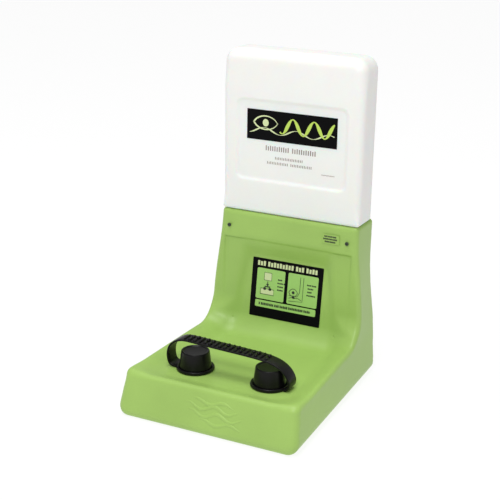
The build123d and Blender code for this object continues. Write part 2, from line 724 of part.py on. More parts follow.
# ---------------------------------------------------------------- hoses and fittings
def hose(places, bends, name):
    """Hose whose middle line runs straight between the given places, with round bends."""
    with BuildPart() as tube:
        with BuildLine() as route:
            if bends:
                FilletPolyline(*places, radius=bends)
            else:
                Line(*places)
        with BuildSketch(Plane(route.line @ 0, z_dir=route.line % 0)):
            Circle(HOSE_RADIUS)
            Circle(HOSE_BORE, mode=Mode.SUBTRACT)
        sweep()
    save(tube, name)


neck_y = forward(NECK_FORWARD)
nozzle_y = forward(NOZZLE_FORWARD)
tee_top = TEE_Z + TEE_TOP
hose_end = nozzle_y + STEM_RADIUS
hose([(0, neck_y, tee_top + 0.5), (0, neck_y, RECEIVER_Z - 9.5)], None, "main_hose")
for side, name in ((-1, "left"), (1, "right")):
    start = (side * (TEE_RADIUS + TEE_ARM + 0.5), neck_y, TEE_Z)
    turn = (side * NOZZLE_X, neck_y, TEE_Z)
    end = (side * NOZZLE_X, hose_end, TEE_Z)
    hose([start, turn, end], [BRANCH_BEND], f"{name}_branch_hose")

with BuildPart() as tee_fitting:
    with Locations((0, neck_y, 0)):
        column(TEE_RADIUS, TEE_Z, tee_top)
        column(BARB_RADIUS, TEE_Z, tee_top + BARB_LENGTH)
    with Locations((0, neck_y, TEE_Z)):
        Cylinder(TEE_RADIUS, 2 * (TEE_RADIUS + TEE_ARM), rotation=(0, 90, 0))
        Cylinder(BARB_RADIUS, 2 * (TEE_RADIUS + BARB_LENGTH), rotation=(0, 90, 0))
        Cylinder(WATERWAY, 2 * (TEE_RADIUS + BARB_LENGTH), rotation=(0, 90, 0), mode=Mode.SUBTRACT)
    with Locations((0, neck_y, 0)):
        column(WATERWAY, TEE_Z, tee_top + BARB_LENGTH, mode=Mode.SUBTRACT)
save(tee_fitting, "tee_fitting")

with BuildPart() as hose_clamps:
    clamp_planes = [
        Plane((0, neck_y, RECEIVER_Z - 18), z_dir=(0, 0, 1)),
        Plane((0, neck_y, tee_top + 9), z_dir=(0, 0, 1)),
    ]
    for side in (-1, 1):
        at_tee = (side * (TEE_RADIUS + 12), neck_y, TEE_Z)
        at_nozzle = (side * NOZZLE_X, hose_end + 8, TEE_Z)
        clamp_planes.append(Plane(at_tee, x_dir=(0, 1, 0), z_dir=(1, 0, 0)))
        clamp_planes.append(Plane(at_nozzle, x_dir=(1, 0, 0), z_dir=(0, -1, 0)))
    for plane in clamp_planes:
        with BuildSketch(plane):
            Circle(CLAMP_RADIUS)
            with Locations((0, CLAMP_RADIUS + 1)):
                Rectangle(*CLAMP_EAR)
            Circle(HOSE_RADIUS + FIT, mode=Mode.SUBTRACT)
        extrude(amount=CLAMP_WIDTH / 2, both=True)
save(hose_clamps, "hose_clamps")

with BuildPart() as hose_saddles:
    plate_top = PLATE_Z + PLATE_THICK
    for side in (-1, 1):
        across = (side * NOZZLE_X - SADDLE_HALF[0], side * NOZZLE_X + SADDLE_HALF[0])
        along = (SADDLE_FORWARD - SADDLE_HALF[1], SADDLE_FORWARD + SADDLE_HALF[1])
        block(across, along, (plate_top, TEE_Z + 10))
    post = (NECK_FORWARD - POST_HALF[1], NECK_FORWARD + POST_HALF[1])
    block((-POST_HALF[0], POST_HALF[0]), post, (plate_top, TEE_Z))
    with Locations(*[(side * NOZZLE_X, forward(SADDLE_FORWARD), TEE_Z) for side in (-1, 1)]):
        Cylinder(HOSE_RADIUS + FIT, 12, rotation=(90, 0, 0), mode=Mode.SUBTRACT)
    with Locations((0, neck_y, TEE_Z)):
        Cylinder(TEE_RADIUS + FIT, 14, rotation=(0, 90, 0), mode=Mode.SUBTRACT)
save(hose_saddles, "hose_saddles")


# ---------------------------------------------------------------- nozzles
flange_z = BASIN_FLOOR_Z + GASKET_THICK
head_z = flange_z + NOZZLE_FLANGE[1]
screen_z = NOZZLE_TOP_Z - ROSE_DEPTH
for (x, y), name in zip(nozzle_places, ("left", "right")):
    with BuildPart() as nozzle:
        with Locations((x, y, 0)):
            column(STEM_RADIUS, TEE_Z - STEM_RADIUS, head_z)
            column(NOZZLE_FLANGE[0], flange_z, head_z)
            column(NOZZLE_RADIUS, head_z, NOZZLE_TOP_Z)
        with Locations((x, y + ELBOW / 2, TEE_Z)):
            Cylinder(BARB_RADIUS, ELBOW, rotation=(90, 0, 0))
            Cylinder(WATERWAY, ELBOW, rotation=(90, 0, 0), mode=Mode.SUBTRACT)
        with Locations((x, y, 0)):
            column(WATERWAY, TEE_Z, NOZZLE_TOP_Z, mode=Mode.SUBTRACT)
            column(ROSE_RADIUS - 1.5, head_z + 4, NOZZLE_TOP_Z, mode=Mode.SUBTRACT)
            column(ROSE_RADIUS + FIT, screen_z, NOZZLE_TOP_Z, mode=Mode.SUBTRACT)
    save(nozzle, f"{name}_nozzle")

    with BuildPart() as rose:
        with Locations((x, y, 0)):
            column(ROSE_RADIUS, screen_z + 1, NOZZLE_TOP_Z)
            for ring_radius, hole_count in ROSE_RINGS:
                with PolarLocations(ring_radius, hole_count):
                    column(ROSE_HOLE, screen_z, NOZZLE_TOP_Z, mode=Mode.SUBTRACT)
    save(rose, f"{name}_nozzle_rose")

with BuildPart() as nozzle_screens:
    with Locations(*[(x, y, 0) for x, y in nozzle_places]):
        column(ROSE_RADIUS, screen_z, screen_z + 1)
save(nozzle_screens, "nozzle_screens")

with BuildPart() as nozzle_gaskets:
    with Locations(*[(x, y, 0) for x, y in nozzle_places]):
        column(NOZZLE_FLANGE[0] - 0.5, BASIN_FLOOR_Z, flange_z)
        column(STEM_RADIUS + FIT, BASIN_FLOOR_Z, flange_z, mode=Mode.SUBTRACT)
save(nozzle_gaskets, "nozzle_gaskets")

with BuildPart() as nozzle_nuts:
    with BuildSketch(Plane.XY.offset(BASIN_FLOOR_Z - WALL - 0.1 - NUT[1])):
        with Locations(*nozzle_places):
            RegularPolygon(radius=NUT[0], side_count=6)
            Circle(STEM_RADIUS + FIT, mode=Mode.SUBTRACT)
    extrude(amount=NUT[1])
save(nozzle_nuts, "nozzle_nuts")


# ---------------------------------------------------------------- labels
with BuildPart() as instruction_label:
    label_z = (LABEL_FACE[0][1] + LABEL_FACE[1][1]) / 2
    with BuildSketch(leaning(LABEL_FACE, 0, label_z)):
        RectangleRounded(*LABEL_SIZE, 1.5)
    extrude(amount=LABEL_THICK)
save(instruction_label, "instruction_label")

with BuildPart() as rating_label:
    with BuildSketch(leaning(BAND_FACE, *RATING_PLACE)):
        RectangleRounded(*RATING_SIZE, 1)
    extrude(amount=RATING_THICK)
save(rating_label, "rating_label")


# ---------------------------------------------------------------- caps and strap
def turned(x, y, profile):
    """Turned solid about an upright axis, from its (radius, z) profile."""
    with BuildSketch(Plane((x, y, 0), x_dir=(1, 0, 0), z_dir=(0, -1, 0))) as section:
        with BuildLine():
            Polyline(profile, close=True)
        make_face()
    revolve(section.sketch, axis=Axis((x, y, 0), (0, 0, 1)))


for (x, y), name in zip(nozzle_places, ("left", "right")):
    with BuildPart() as cap:
        turned(x, y, [
            (NOZZLE_FLANGE[0] + 0.6, CAP_Z),
            (CAP_LIP[0], CAP_Z),
            (CAP_LIP[0], CAP_LIP[1]),
            (CAP_RADII[0], CAP_LIP[1]),
            (CAP_RADII[1], CAP_TOP_Z),
            (0, CAP_TOP_Z),
            (0, NOZZLE_TOP_Z + 2),
            (NOZZLE_RADIUS + CAP_CLEARANCE, NOZZLE_TOP_Z + 2),
            (NOZZLE_RADIUS + CAP_CLEARANCE, head_z + 1),
            (NOZZLE_FLANGE[0] + 0.6, head_z + 1),
        ])
        fillet(cap.edges().filter_by(GeomType.CIRCLE).group_by(Axis.Z)[-1], radius=2.5)
    save(cap, f"{name}_cap")

with BuildPart() as cap_seals:
    with Locations(*[(x, y, 0) for x, y in nozzle_places]):
        column(NOZZLE_RADIUS - 1, NOZZLE_TOP_Z + 0.4, NOZZLE_TOP_Z + 2)
save(cap_seals, "cap_seals")

with BuildPart() as pull_strap:
    with BuildSketch(Plane.XZ.offset(-nozzle_y)):
        with BuildLine() as strap_line:
            FilletPolyline(*STRAP_ROUTE, radius=STRAP_BENDS)
        trace(line_width=STRAP_THICK)
    extrude(amount=STRAP_WIDTH / 2, both=True)
    crown, shoulder = STRAP_ROUTE[3], STRAP_ROUTE[4]
    fall = (shoulder[1] - crown[1]) / (shoulder[0] - crown[0])
    for i in range(RIB_COUNT):
        rib_x = RIB_MIDDLE + RIB_PITCH * (i - (RIB_COUNT - 1) / 2)
        rib_z = crown[1] + fall * (rib_x - crown[0]) + STRAP_THICK / 2
        with Locations((rib_x, nozzle_y, rib_z)):
            Box(*RIB_SIZE)
    for x, y in nozzle_places:
        with Locations((x, y, 0)):
            column(CAP_RADII[0] + RING_CLEARANCE, CAP_Z - 4, RING_TOP_Z + 4, mode=Mode.SUBTRACT)
        turned(x, y, [
            (CAP_LIP[0] + RING_CLEARANCE, CAP_Z),
            (RING_RADIUS, CAP_Z),
            (RING_RADIUS, RING_TOP_Z),
            (CAP_RADII[0] + RING_CLEARANCE, RING_TOP_Z),
            (CAP_RADII[0] + RING_CLEARANCE, CAP_LIP[1] + RING_CLEARANCE),
            (CAP_LIP[0] + RING_CLEARANCE, CAP_LIP[1] + RING_CLEARANCE),
        ])
        with Locations((x, y, 0)):
            column(CAP_LIP[0] + RING_CLEARANCE, CAP_Z, CAP_LIP[1] + RING_CLEARANCE, mode=Mode.SUBTRACT)
save(pull_strap, "pull_strap")
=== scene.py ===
"""Looks of the eyewash station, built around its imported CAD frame.

Blender works in metres. The shapes below are worked out in millimetres, with +Z up, the basin
towards -Y and the origin on the floor. "Forward" is the distance in front of the back face.
"""

import math

import bmesh
import bpy
import numpy as np
from mathutils import Matrix, Vector


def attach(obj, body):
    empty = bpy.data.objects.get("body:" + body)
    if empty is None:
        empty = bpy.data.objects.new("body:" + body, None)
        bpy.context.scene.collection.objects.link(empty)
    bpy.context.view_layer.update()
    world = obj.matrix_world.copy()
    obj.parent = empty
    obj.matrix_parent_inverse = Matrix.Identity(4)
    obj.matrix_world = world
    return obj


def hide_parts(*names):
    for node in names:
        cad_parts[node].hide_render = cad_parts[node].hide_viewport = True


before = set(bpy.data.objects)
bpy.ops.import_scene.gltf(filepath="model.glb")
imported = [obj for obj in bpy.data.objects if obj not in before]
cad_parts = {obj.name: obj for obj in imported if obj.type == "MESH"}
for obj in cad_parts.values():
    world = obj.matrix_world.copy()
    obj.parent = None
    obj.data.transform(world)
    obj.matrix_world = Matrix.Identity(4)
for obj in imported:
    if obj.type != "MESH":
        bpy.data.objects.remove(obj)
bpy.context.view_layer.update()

MM = 0.001
DEPTH = 365.0
BACK_Y = DEPTH / 2

# Casing, as (forward, z) places on its side view unless they say otherwise
WALL = 3.5
CASING_BOTTOM = 0.5
CASING_TOP = 279.5
LOWER_CORNER = 20.0
PLATE_HALF = (122.5, 141.2)
PLATE_REACH = 350.0
FRONT_FOOT = (369.2, 0.5)
RIM_FRONT = (348.0, 75.5)
TRAY_BACK = (88.0, 81.5)
BAND_LOW = (73.0, 232.0)
BAND_HIGH = (71.5, 273.0)
BEVEL_BACK = (65.0, 279.5)
HALF_WIDTH_BACK = [(142.5, 0.5), (141, 20), (139.6, 40), (138, 74), (136, 105), (132.7, 132),
                   (129.5, 159), (126.8, 196), (127.6, 299.5)]
HALF_WIDTH_FRONT = [(162, 0.5), (160.6, 20), (158.7, 40), (157, 74), (170, 105), (179, 135),
                    (180, 162), (168, 200), (145, 240), (130.5, 299.5)]
EDGE_ROUND = 9.0
FRONT_ROUND = 13.0
PILLAR_BLEND = 46.0
BEVEL_FROM = 262.0
SIDE_BEVEL = 3.5
PANEL_HALF = 120.0
PANEL_TOP = 231.0
PANEL_DEPTH = 2.7
PANEL_FADE = (112.0, 228.0)
LABEL_LOW = (77.4, 94.0)
LABEL_HIGH = (63.3, 198.0)
BASIN_FLOOR_Z = 64.0
BASIN_FRONT = 321.0
CEILING_Z = 201.5
DISH_BEND = 33.0
DISH_SHARE = (135.0, 392.0)
DISH_HALF = (71, 75, -19)
SIDE_SPREAD = (1.6, 0.45)
CEILING_SPREAD = 2.25
FRONT_SPREAD = 1.17
MOUTH_ROUND = (3, 13)
MOUTH_FADE = (130, 45)
TOP_OPENING = (98.0, 8.0, 62.0)
NOZZLE_X = 68.0
NOZZLE_FORWARD = 269.0
STEM_HOLE = 9.3

# Cartridge
BOTTLE_LOW = (67.0, 280.3)
BOTTLE_HIGH = (66.0, 560.0)
BOTTLE_BACK = 5.0
BOTTLE_HALF = (127.7, 129.6)
SUNK_Z = 407.5
SUNK_HALF = (103.5, 71.5)
SUNK_SLOPE = 6.0
SUNK_DEPTH = 2.8
SUNK_CORNER = 14
BOTTLE_CORNER = 25
BOTTLE_BASE_ROUND = 4
BOTTLE_BACK_ROUND = 10
STEP = (96.0, 10.0, 60.0, 240.5)
NECK_FORWARD = 32.0
NECK_RADIUS = 19.0
NECK_Z = 219.4
BANNER_Z = 434.3
LABEL_THICK = 0.4
PRINT_STEP = 0.04
RATING_X = 80.5
EMBLEM_SECTION = ((-3.4, 0.2), (-2.6, 1.0), (-1.2, 1.4), (1.2, 1.4), (2.6, 1.0), (3.4, 0.2))


# ---------------------------------------------------------------- shapes from distance fields
def round_max(a, b, radius):
    """Intersection of two distance fields, with its edge rounded."""
    inside = np.minimum(-radius, np.maximum(a, b))
    return inside + np.hypot(np.maximum(a + radius, 0), np.maximum(b + radius, 0))


def round_min(a, b, radius):
    """Union of two distance fields, with its inner corner rounded."""
    return -round_max(-a, -b, radius)


def cut(solid, hollow, radius):
    """A solid less a hollow, with the mouth's edge rounded."""
    return round_max(solid, -hollow, radius)


def beyond(f, z, start, end):
    """Distance to the right of a straight line on the side view, forward being to the right."""
    run, rise = end[0] - start[0], end[1] - start[1]
    return ((f - start[0]) * rise - (z - start[1]) * run) / math.hypot(run, rise)


def smooth_step(value, low, high):
    """0 below low and 1 above high, with a soft S between."""
    t = np.clip((value - low) / (high - low), 0, 1)
    return t * t * (3 - 2 * t)


def curve_through(points, height):
    """Smooth curve through (value, height) points, upright at both ends."""
    values, heights = np.array(points, float).T
    tangents = np.gradient(values, heights)
    tangents[[0, -1]] = 0
    height = np.clip(height, heights[0], heights[-1])
    i = np.clip(np.searchsorted(heights, height, side="right") - 1, 0, len(heights) - 2)
    span = heights[i + 1] - heights[i]
    t = (height - heights[i]) / span
    start = values[i] * (1 + 2 * t) * (1 - t) ** 2 + tangents[i] * span * t * (1 - t) ** 2
    end = values[i + 1] * t**2 * (3 - 2 * t) - tangents[i + 1] * span * t**2 * (1 - t)
    return start + end


def field_mesh(name, field, low, high, cell, rounds=12):
    """Mesh in quads where a field of (x, forward, z) is zero, in a box in mm, evened in rounds."""
    axes = [np.arange(a - 1.37 * cell, b + 2.4 * cell, cell) for a, b in zip(low, high)]
    x, y, z = axes
    rows, heights = np.meshgrid(y, z, indexing="ij")
    value = np.stack([field(np.full_like(rows, across), BACK_Y - rows, heights) for across in x])
    inside = value < 0
    total = np.zeros((value.size, 3))
    count = np.zeros(value.size)
    quads = []
    for axis in range(3):
        here, there = [slice(None)] * 3, [slice(None)] * 3
        here[axis], there[axis] = slice(0, -1), slice(1, None)
        crossed = inside[tuple(here)] != inside[tuple(there)]
        places = np.argwhere(crossed)
        near, far = value[tuple(here)][crossed], value[tuple(there)][crossed]
        points = places.astype(float)
        points[:, axis] += near / (near - far)
        ring = []
        for step_u, step_v in ((0, 0), (1, 0), (1, 1), (0, 1)):
            cells = places.copy()
            cells[:, (axis + 1) % 3] -= step_u
            cells[:, (axis + 2) % 3] -= step_v
            index = np.ravel_multi_index(cells.T, value.shape)
            for k in range(3):
                total[:, k] += np.bincount(index, points[:, k], value.size)
            count += np.bincount(index, minlength=value.size)
            ring.append(index)
        ring = np.stack(ring, axis=1)
        ring[near > 0] = ring[near > 0][:, ::-1]
        quads.append(ring)
    used = np.flatnonzero(count)
    number = np.zeros(value.size, int)
    number[used] = np.arange(len(used))
    start = np.array([axis[0] for axis in axes])
    points = start + cell * total[used] / count[used, None]
    faces = number[np.concatenate(quads)]
    for _ in range(rounds):
        points = settle(evened(points, faces), field, 1)
    return make_mesh(name, settle(points, field, 2) * MM, faces)


def evened(points, faces):
    """Points moved half way to the middle of their neighbours."""
    ends = np.concatenate([faces, np.roll(faces, -1, axis=1)]).ravel()
    others = np.concatenate([np.roll(faces, -1, axis=1), faces]).ravel()
    neighbours = np.bincount(ends, minlength=len(points))[:, None]
    middle = [np.bincount(ends, points[others, k], len(points)) for k in range(3)]
    return (points + np.stack(middle, axis=1) / neighbours) / 2


def settle(points, field, rounds, probe=0.15):
    """Points moved onto a field's zero surface."""
    for _ in range(rounds):
        x, y, z = points.T
        here = field(x, BACK_Y - y, z)
        slope = np.stack([
            field(x + probe, BACK_Y - y, z) - field(x - probe, BACK_Y - y, z),
            field(x, BACK_Y - y - probe, z) - field(x, BACK_Y - y + probe, z),
            field(x, BACK_Y - y, z + probe) - field(x, BACK_Y - y, z - probe),
        ], axis=1) / (2 * probe)
        steep = np.maximum((slope**2).sum(axis=1), 0.25)
        points = points - slope * np.clip(here / steep, -1, 1)[:, None]
    return points


def make_mesh(name, points, faces, smooth=True):
    """Blender object from points in metres and faces as lists of point numbers."""
    mesh = bpy.data.meshes.new(name)
    mesh.from_pydata(np.asarray(points).tolist(), [], [list(map(int, face)) for face in faces])
    mesh.polygons.foreach_set("use_smooth", [smooth] * len(mesh.polygons))
    mesh.update()
    piece = bpy.data.objects.new(name, mesh)
    bpy.context.scene.collection.objects.link(piece)
    return piece


# ---------------------------------------------------------------- casing
def casing_walls(x, f, z):
    """Casing without its back: sides, bottom, tray, pillar, band and rounded edges."""
    back = curve_through(HALF_WIDTH_BACK, z)
    front = curve_through(HALF_WIDTH_FRONT, z)
    half = back + (front - back) * np.clip(f / DEPTH, 0, 1.02)
    side = (np.abs(x) - half) * 0.985
    outline = round_max(side, CASING_BOTTOM - z, LOWER_CORNER)
    outline = round_max(outline, beyond(f, z, FRONT_FOOT, RIM_FRONT), FRONT_ROUND)
    pillar = np.maximum(beyond(f, z, TRAY_BACK, BAND_LOW), beyond(f, z, BAND_LOW, BAND_HIGH))
    upper = round_min(pillar, beyond(f, z, RIM_FRONT, TRAY_BACK), PILLAR_BLEND)
    body = round_max(upper, outline, EDGE_ROUND)
    front_bevel = np.minimum(beyond(f, z, BAND_HIGH, BEVEL_BACK), z - BEVEL_FROM)
    side_bevel = (np.abs(x) - half + z - CASING_TOP + SIDE_BEVEL) / math.sqrt(2)
    body = round_max(body, front_bevel, 2.5)
    body = round_max(body, side_bevel, 2)
    body = round_max(body, z - CASING_TOP, 1)
    set_back = PANEL_DEPTH * smooth_step(z, *PANEL_FADE)
    panel = round_max(-(upper + set_back), np.abs(x) - PANEL_HALF, 2.5)
    panel = round_max(panel, z - PANEL_TOP, 1.5)
    mouth = MOUTH_ROUND[0] + MOUTH_ROUND[1] * smooth_step(MOUTH_FADE[0] - z, 0, MOUTH_FADE[1])
    return cut(cut(body, panel, 1.5), dish(x, f, z), mouth)


def dish(x, f, z):
    """Hollow of the recess and the basin: one curved floor with sloping walls all round."""
    floor = round_max(-beyond(f, z, LABEL_LOW, LABEL_HIGH), BASIN_FLOOR_Z - z, DISH_BEND)
    above = -floor
    # Share of the way from the recess's top to the basin's front
    along = (f - z + DISH_SHARE[0]) / DISH_SHARE[1]
    half = DISH_HALF[0] + DISH_HALF[1] * along + DISH_HALF[2] * along**2
    spread = SIDE_SPREAD[0] - SIDE_SPREAD[1] * smooth_step(along, 0.1, 0.6)
    side = (np.abs(x) - half - spread * above) / np.hypot(1, spread)
    ceiling = (z - CEILING_Z - CEILING_SPREAD * above) / math.hypot(1, CEILING_SPREAD)
    front = (f - BASIN_FRONT - FRONT_SPREAD * above) / math.hypot(1, FRONT_SPREAD)
    rim = round_max(side, ceiling, 5)
    rim = round_max(rim, front, 26)
    return round_max(floor, rim, 2 + 5 * smooth_step(along, 0, 0.5))


def casing(x, f, z):
    """The whole casing: a wall a little thicker away from its back, open behind and below."""
    walls = casing_walls(x, f, z)
    shell = np.maximum(round_max(walls, -f, 1), -(walls + WALL + smooth_step(f, 6, 30)))
    plate_half = PLATE_HALF[0] + (PLATE_HALF[1] - PLATE_HALF[0]) * f / PLATE_REACH
    plate = np.maximum(np.maximum(np.abs(x) - plate_half, f - PLATE_REACH), z - 12)
    shell = cut(shell, plate, 1)
    half, near, far = TOP_OPENING
    way_in = round_max(np.abs(x) - half, np.abs(f - (near + far) / 2) - (far - near) / 2, 6)
    way_in = np.maximum(way_in, 260 - z)
    shell = cut(shell, way_in, 1)
    stem = np.hypot(np.abs(x) - NOZZLE_X, f - NOZZLE_FORWARD) - STEM_HOLE
    return np.maximum(shell, -stem)


# ---------------------------------------------------------------- cartridge
def bottle(x, f, z):
    """The blow-moulded bottle: body with large soft corners, sunk front panel, step and neck."""
    rise = (z - BOTTLE_LOW[1]) / (BOTTLE_HIGH[1] - BOTTLE_LOW[1])
    half = BOTTLE_HALF[0] + (BOTTLE_HALF[1] - BOTTLE_HALF[0]) * rise
    across = np.abs(x) - SUNK_HALF[0]
    up = np.abs(z - SUNK_Z) - SUNK_HALF[1]
    panel = round_max(across, up, SUNK_CORNER)
    front = beyond(f, z, BOTTLE_LOW, BOTTLE_HIGH) + SUNK_DEPTH * smooth_step(-panel, 0, SUNK_SLOPE)
    outline = round_max(np.abs(x) - half, z - BOTTLE_HIGH[1], BOTTLE_CORNER)
    outline = round_max(outline, BOTTLE_LOW[1] - z, BOTTLE_BASE_ROUND)
    edge = BOTTLE_BASE_ROUND + 8 * smooth_step(z, 282, 310) + 6 * smooth_step(z, 490, 540)
    body = round_max(round_max(outline, front, edge), BOTTLE_BACK - f, BOTTLE_BACK_ROUND)
    step_half, near, far, low = STEP
    step = round_max(np.abs(x) - step_half, np.abs(f - (near + far) / 2) - (far - near) / 2, 9)
    step = round_max(step, low - z, 5)
    step = np.maximum(step, z - 300)
    neck = np.hypot(x, f - NECK_FORWARD) - NECK_RADIUS
    neck = np.maximum(neck, np.maximum(NECK_Z - z, z - 260))
    return np.minimum(round_min(body, step, 2), neck)


# ---------------------------------------------------------------- caps and strap
def turned(name, profile, centres, steps=96):
    """Turned solids about upright axes at (x, forward) centres, from one closed (radius, z) profile."""
    angles = np.linspace(0, 2 * math.pi, steps, endpoint=False)
    radius, z = np.array(profile, float).T
    rows = len(profile)
    points, faces = [], []
    for x, f in centres:
        first = len(points)
        for angle in angles:
            points += [(x + r * math.cos(angle), BACK_Y - f + r * math.sin(angle), h)
                       for r, h in zip(radius, z)]
        for i in range(steps):
            for j in range(rows):
                here, after = first + i * rows, first + (i + 1) % steps * rows
                below, above = j, (j + 1) % rows
                faces.append([here + below, after + below, after + above, here + above])
    piece = make_mesh(name, np.array(points) * MM, faces)
    clean = bmesh.new()
    clean.from_mesh(piece.data)
    bmesh.ops.remove_doubles(clean, verts=clean.verts, dist=1e-6)
    bmesh.ops.dissolve_degenerate(clean, edges=clean.edges, dist=1e-7)
    bmesh.ops.recalc_face_normals(clean, faces=clean.faces)
    clean.to_mesh(piece.data)
    clean.free()
    return piece


def rounded_path(corners, cuts=4):
    """Closed outline with its corners rounded: each corner is (x, y, radius)."""
    outline = []
    count = len(corners)
    for i, (x, y, radius) in enumerate(corners):
        here = np.array([x, y], float)
        before = np.array(corners[i - 1][:2], float) - here
        after = np.array(corners[(i + 1) % count][:2], float) - here
        if radius == 0:
            outline.append(tuple(here))
            continue
        before, after = before / np.hypot(*before), after / np.hypot(*after)
        half_angle = math.acos(np.clip(before @ after, -1, 1)) / 2
        reach = radius / math.tan(half_angle)
        start, end = here + before * reach, here + after * reach
        for t in np.linspace(0, 1, cuts + 1):
            bend = start * (1 - t) ** 2 + 2 * here * t * (1 - t) + end * t**2
            outline.append(tuple(bend))
    return outline


def smooth_route(places, cuts=10):
    """Smooth line through places in a plane, as evenly cut points."""
    places = np.array(places, float)
    ends = np.vstack([2 * places[0] - places[1], places, 2 * places[-1] - places[-2]])
    line = []
    for i in range(1, len(ends) - 2):
        before, start, end, after = ends[i - 1:i + 3]
        for t in np.linspace(0, 1, cuts, endpoint=False):
            line.append(0.5 * (2 * start + (end - before) * t
                               + (2 * before - 5 * start + 4 * end - after) * t**2
                               + (3 * start - before - 3 * end + after) * t**3))
    return np.array(line + [places[-1]])


def ribbon(name, route, section):
    """Band whose (across, out) section follows a route of (x, z) points above the nozzles."""
    along = np.gradient(route, axis=0)
    along /= np.hypot(*along.T)[:, None]
    out = np.stack([-along[:, 1], along[:, 0]], axis=1)
    rows = len(section)
    points = [(x + up * nx, BACK_Y - NOZZLE_FORWARD + across, z + up * nz)
              for (x, z), (nx, nz) in zip(route, out) for across, up in section]
    faces = [[i * rows + j, i * rows + (j + 1) % rows, (i + 1) * rows + (j + 1) % rows, (i + 1) * rows + j]
             for i in range(len(route) - 1) for j in range(rows)]
    last = (len(route) - 1) * rows
    faces += [list(range(rows))[::-1], list(range(last, last + rows))]
    return make_mesh(name, np.array(points) * MM, faces)


def blocks(name, places, roundness):
    """Small rounded blocks, each given by its middle, its size and its turn about Y."""
    made = bmesh.new()
    for (x, y, z), size, tilt in places:
        turn = Matrix.Translation(Vector((x, y, z)) * MM) @ Matrix.Rotation(tilt, 4, "Y")
        shape = Matrix.Diagonal((*[s * MM for s in size], 1))
        bmesh.ops.create_cube(made, size=1, matrix=turn @ shape)
    bmesh.ops.bevel(made, geom=made.edges[:], offset=roundness * MM, segments=3, affect="EDGES")
    mesh = bpy.data.meshes.new(name)
    made.to_mesh(mesh)
    made.free()
    mesh.polygons.foreach_set("use_smooth", [True] * len(mesh.polygons))
    piece = bpy.data.objects.new(name, mesh)
    bpy.context.scene.collection.objects.link(piece)
    return piece


# ---------------------------------------------------------------- prints
def on_face(low, high, z, offset):
    """Places on a leaning face: across, up along the face from height z, and out from it."""
    up = np.array([high[0] - low[0], high[1] - low[1]], float)
    up /= np.hypot(*up)
    middle = low[0] + (z - low[1]) * up[0] / up[1]

    def place(u, v, out):
        f = middle + v * up[0] + (out + offset) * up[1]
        return u, BACK_Y - f, z + v * up[1] - (out + offset) * up[0]

    return place


def printed(name, place, shapes, inks):
    """Prints stacked on a face, each shape being (ink, faces), with one material for each ink."""
    points, faces, kinds = [], [], []
    for layer, (ink, outlines) in enumerate(shapes):
        for outline in outlines:
            faces.append(list(range(len(points), len(points) + len(outline))))
            kinds.append(list(inks).index(ink))
            points += [place(u, v, PRINT_STEP * (layer + 1)) for u, v in outline]
    piece = make_mesh(name, np.array(points) * MM, faces, smooth=False)
    for made in inks.values():
        piece.data.materials.append(made)
    piece.data.polygons.foreach_set("material_index", kinds)
    return piece


def bar(u, v, width, height, radius=0.0):
    """One rounded rectangle about a middle."""
    corners = [(-1, -1), (1, -1), (1, 1), (-1, 1)]
    return [rounded_path([(u + a * width / 2, v + b * height / 2, radius) for a, b in corners])]


def stroke(line, widths):
    """Quads along a line, with a width at each of its points."""
    line = np.array(line, float)
    along = np.gradient(line, axis=0)
    side = np.stack([-along[:, 1], along[:, 0]], axis=1) / np.hypot(*along.T)[:, None]
    half = np.broadcast_to(np.asarray(widths, float) / 2, (len(line),))[:, None] * side
    left, right = line + half, line - half
    return [[tuple(right[i]), tuple(right[i + 1]), tuple(left[i + 1]), tuple(left[i])]
            for i in range(len(line) - 1)]


def arc(u, v, radius_u, radius_v, start, end, count=24):
    """Points along part of an ellipse, from one angle in degrees to another."""
    angles = np.radians(np.linspace(start, end, count))
    return [(u + radius_u * math.cos(a), v + radius_v * math.sin(a)) for a in angles]


def disc(u, v, radius_u, radius_v):
    """One filled ellipse."""
    return [arc(u, v, radius_u, radius_v, 0, 345)]


def marks(u, v, words, height, width, gap):
    """Row of upright strokes in groups, centred at a place: stands for a line of small print."""
    total = sum(words) * (width + gap) + (len(words) - 1) * 2 * gap
    left = u - total / 2
    row = []
    for word in words:
        for i in range(word):
            tall = height * (1, 0.86, 1, 0.92)[i % 4]
            row += bar(left + width / 2, v - (height - tall) / 2, width, tall)
            left += width + gap
        left += 2 * gap
    return row


# ---------------------------------------------------------------- materials
def material(name, colour, roughness):
    """Plain principled material to build on: returns it with its nodes, links and shader."""
    made = bpy.data.materials.new(name)
    made.use_nodes = True
    nodes, links = made.node_tree.nodes, made.node_tree.links
    shader = nodes["Principled BSDF"]
    shader.inputs["Base Color"].default_value = (*colour, 1)
    shader.inputs["Roughness"].default_value = roughness
    return made, nodes, links, shader


def noise(nodes, links, place, scale, detail=3.0, stretch=(1, 1, 1)):
    """Noise in object space, with its lumps stretched along an axis: returns its value."""
    mapping = nodes.new("ShaderNodeMapping")
    mapping.inputs["Scale"].default_value = stretch
    links.new(place.outputs["Object"], mapping.inputs["Vector"])
    texture = nodes.new("ShaderNodeTexNoise")
    texture.inputs["Scale"].default_value = scale
    texture.inputs["Detail"].default_value = detail
    links.new(mapping.outputs["Vector"], texture.inputs["Vector"])
    return texture.outputs["Fac"]


